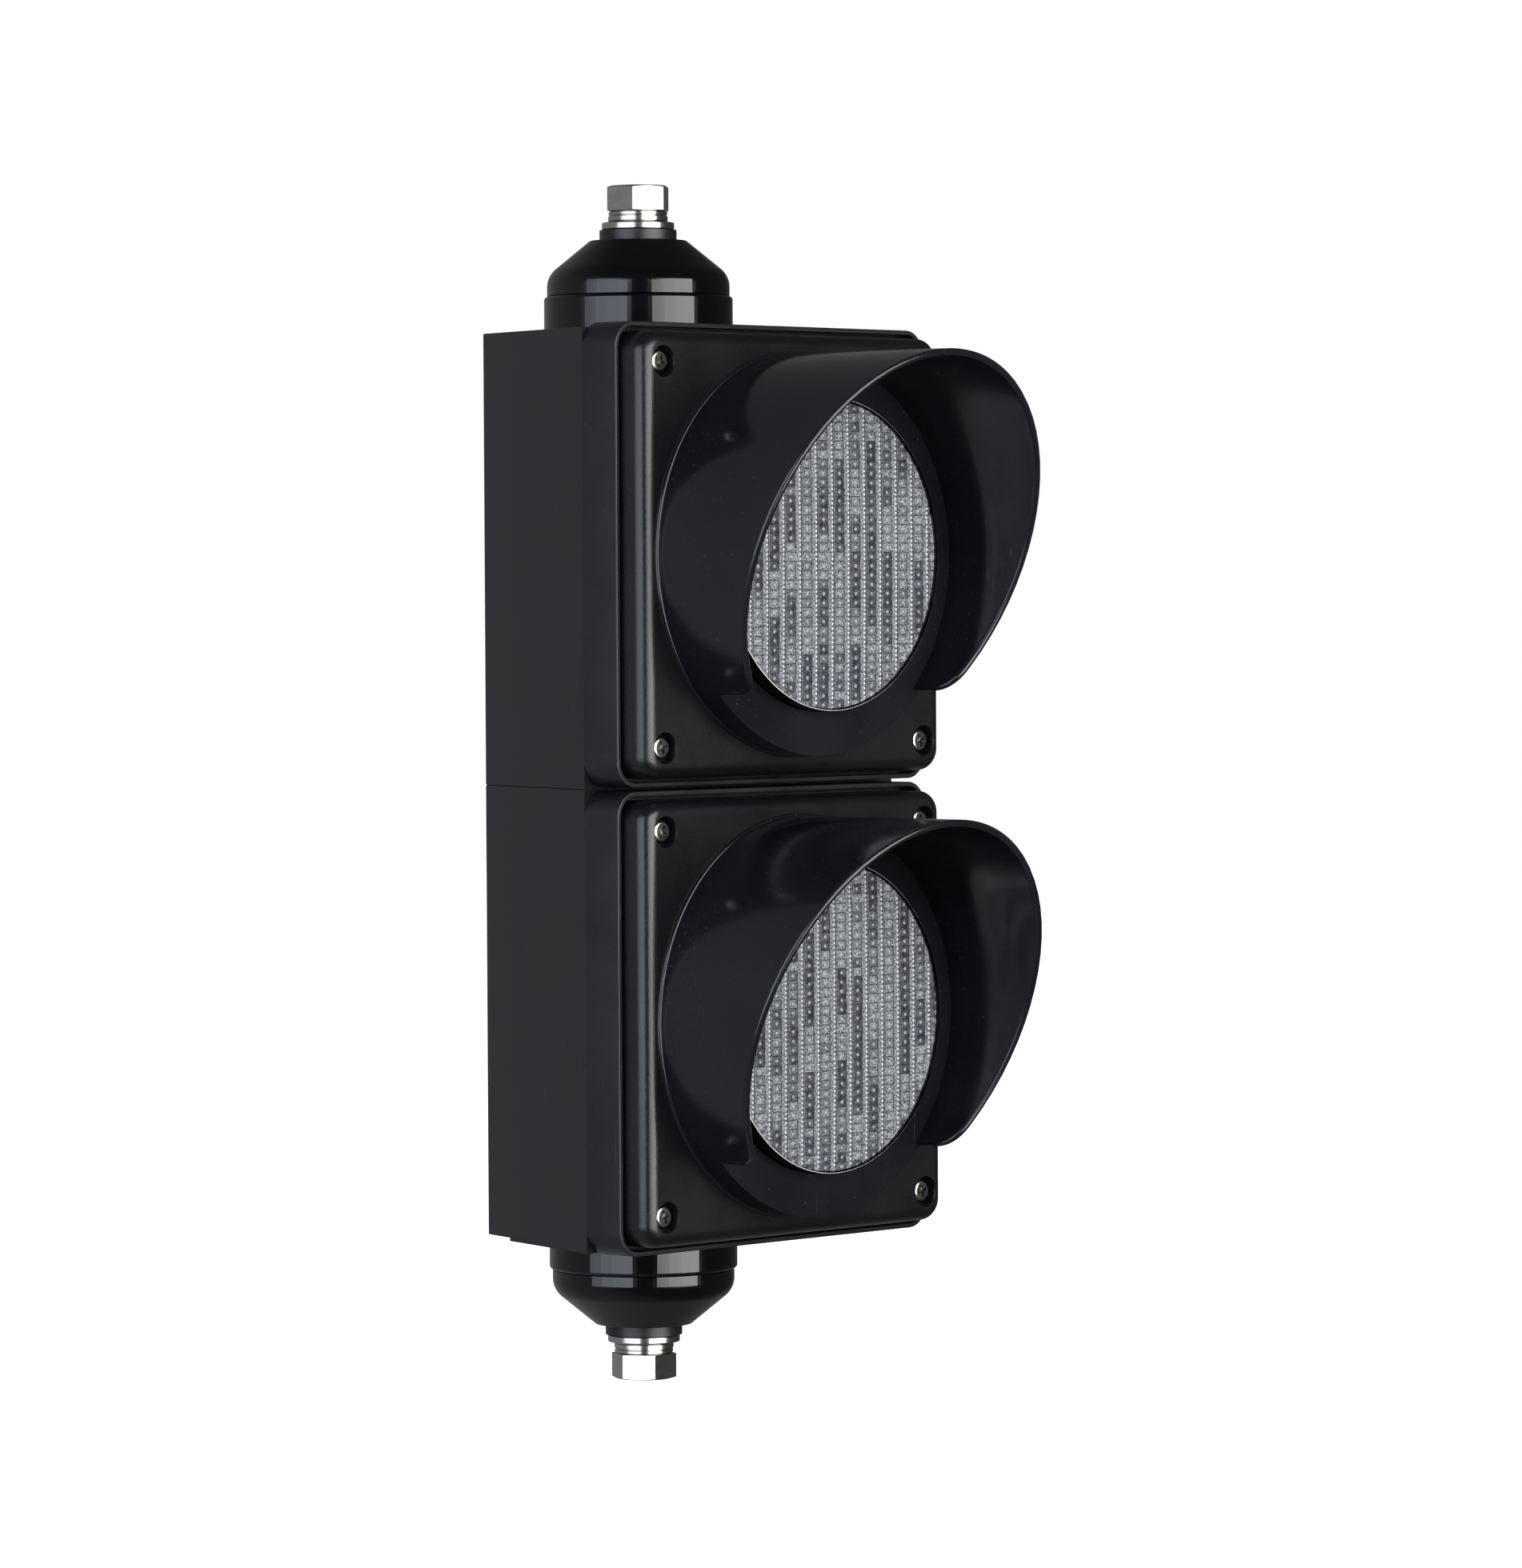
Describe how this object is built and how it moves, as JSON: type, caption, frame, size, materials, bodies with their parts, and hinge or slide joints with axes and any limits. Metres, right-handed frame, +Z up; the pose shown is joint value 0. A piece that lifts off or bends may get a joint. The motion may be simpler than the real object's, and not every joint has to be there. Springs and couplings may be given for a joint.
{
  "type": "pedestrian traffic light",
  "caption": "Compact signal head with stacked lamp modules, each a clear round lens under a deep raked visor, held by domed swivel fittings with hexagon bolts at top and bottom.",
  "frame": {"origin": "on the swivel axis, half-way up the proud part of the lower bush", "axes": "+Z up along the swivel axis, -Y the way the lenses face, +X to the right seen from in front of the lenses"},
  "size_m": [0.1466, 0.1934, 0.3964],
  "materials": {
    "housing_plastic": "satin moulded black polycarbonate",
    "cover_plastic": "fine-grained moulded black polycarbonate",
    "gloss_black": "glossy moulded black plastic",
    "lens_clear": "clear polycarbonate",
    "lens_pattern": "ribbed clear polycarbonate",
    "rubber_black": "soft black rubber",
    "stainless": "machined stainless steel",
    "lamp_plastic": "dark grey plastic",
    "circuit_board": "solder mask",
    "led_epoxy": "clear epoxy",
    "driver_parts": "moulded components",
    "nylon_black": "moulded black nylon",
    "cable_grey": "cable sheath"
  },
  "bodies": {
    "lower_fitting": {"lower_dome_cap": "gloss_black", "lower_bush": "nylon_black"},
    "head": {"upper_housing": "housing_plastic", "upper_cover_gasket": "rubber_black", "upper_collar": "gloss_black", "upper_flat_washer": "stainless", "upper_spring_washer": "stainless", "upper_bolt": "stainless", "upper_clamp_plate": "stainless", "upper_nut": "stainless", "lower_housing": "housing_plastic", "lower_cover_gasket": "rubber_black", "lower_collar": "gloss_black", "lower_flat_washer": "stainless", "lower_spring_washer": "stainless", "lower_bolt": "stainless", "lower_clamp_plate": "stainless", "lower_nut": "stainless", "tie_bolts": "stainless", "tie_nuts": "stainless", "seam_grommet": "rubber_black", "seam_cable": "cable_grey", "cable_plug": "nylon_black", "terminal_block": "nylon_black", "gland_body": "nylon_black", "gland_seal": "rubber_black", "gland_cap": "nylon_black", "gland_locknut": "nylon_black"},
    "upper_fitting": {"upper_dome_cap": "gloss_black", "upper_bush": "nylon_black"},
    "upper_cover_unit": {"upper_cover": "cover_plastic", "upper_visor": "gloss_black", "upper_lens": "lens_clear", "upper_lens_seal": "rubber_black", "upper_patterned_lens": "lens_pattern", "upper_lamp_case": "lamp_plastic", "upper_led_board": "circuit_board", "upper_driver_board": "circuit_board", "upper_leds": "led_epoxy", "upper_driver_parts": "driver_parts", "upper_cover_screws": "stainless", "upper_screw_seals": "rubber_black", "upper_visor_screws": "stainless"},
    "lower_cover_unit": {"lower_cover": "cover_plastic", "lower_visor": "gloss_black", "lower_lens": "lens_clear", "lower_lens_seal": "rubber_black", "lower_patterned_lens": "lens_pattern", "lower_lamp_case": "lamp_plastic", "lower_led_board": "circuit_board", "lower_driver_board": "circuit_board", "lower_leds": "led_epoxy", "lower_driver_parts": "driver_parts", "lower_cover_screws": "stainless", "lower_screw_seals": "rubber_black", "lower_visor_screws": "stainless"}
  },
  "joints": [
    {"name": "head_turn", "type": "hinge", "parent": "lower_fitting", "child": "head", "pos_m": [0, 0, 0.02], "axis": [0, 0, 1], "continuous": true},
    {"name": "upper_fitting_turn", "type": "hinge", "parent": "head", "child": "upper_fitting", "pos_m": [0, 0, 0.34], "axis": [0, 0, 1], "continuous": true},
    {"name": "upper_cover_off", "type": "slide", "parent": "head", "child": "upper_cover_unit", "axis": [0, -1, 0], "range_m": [0, 0.08]},
    {"name": "lower_cover_off", "type": "slide", "parent": "head", "child": "lower_cover_unit", "axis": [0, -1, 0], "range_m": [0, 0.08]}
  ],
  "couplings": [
    {"joint": "upper_fitting_turn", "follows": "head_turn", "ratio": -1}
  ]
}
